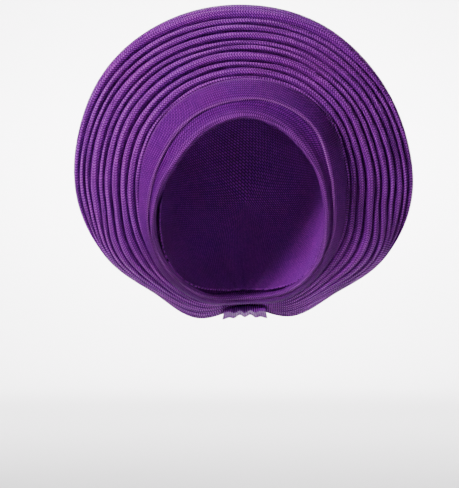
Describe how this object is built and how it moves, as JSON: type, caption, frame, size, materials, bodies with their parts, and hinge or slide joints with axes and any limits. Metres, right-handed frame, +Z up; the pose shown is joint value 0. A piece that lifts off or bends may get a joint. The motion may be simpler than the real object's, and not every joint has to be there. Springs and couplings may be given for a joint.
{
  "type": "tied gele head tie",
  "caption": "Tied gele head tie of stiff purple woven cloth, with smooth bands round the face, a wide upright fan of round pleats behind them and a knot at the nape.",
  "frame": {"origin": "the point inside the crown wrap where the top of the head sits", "axes": "+Z up, -Y the way the wearer's face looks, +X to the wearer's left"},
  "size_m": [0.3022, 0.1801, 0.2849],
  "materials": {
    "woven_cloth": "satin sheen, stiff twill weave"
  },
  "bodies": {
    "root": {"crown_wrap": "woven_cloth", "forehead_band": "woven_cloth", "front_fold": "woven_cloth", "pleated_fan": "woven_cloth", "nape_knot": "woven_cloth"}
  },
  "joints": []
}
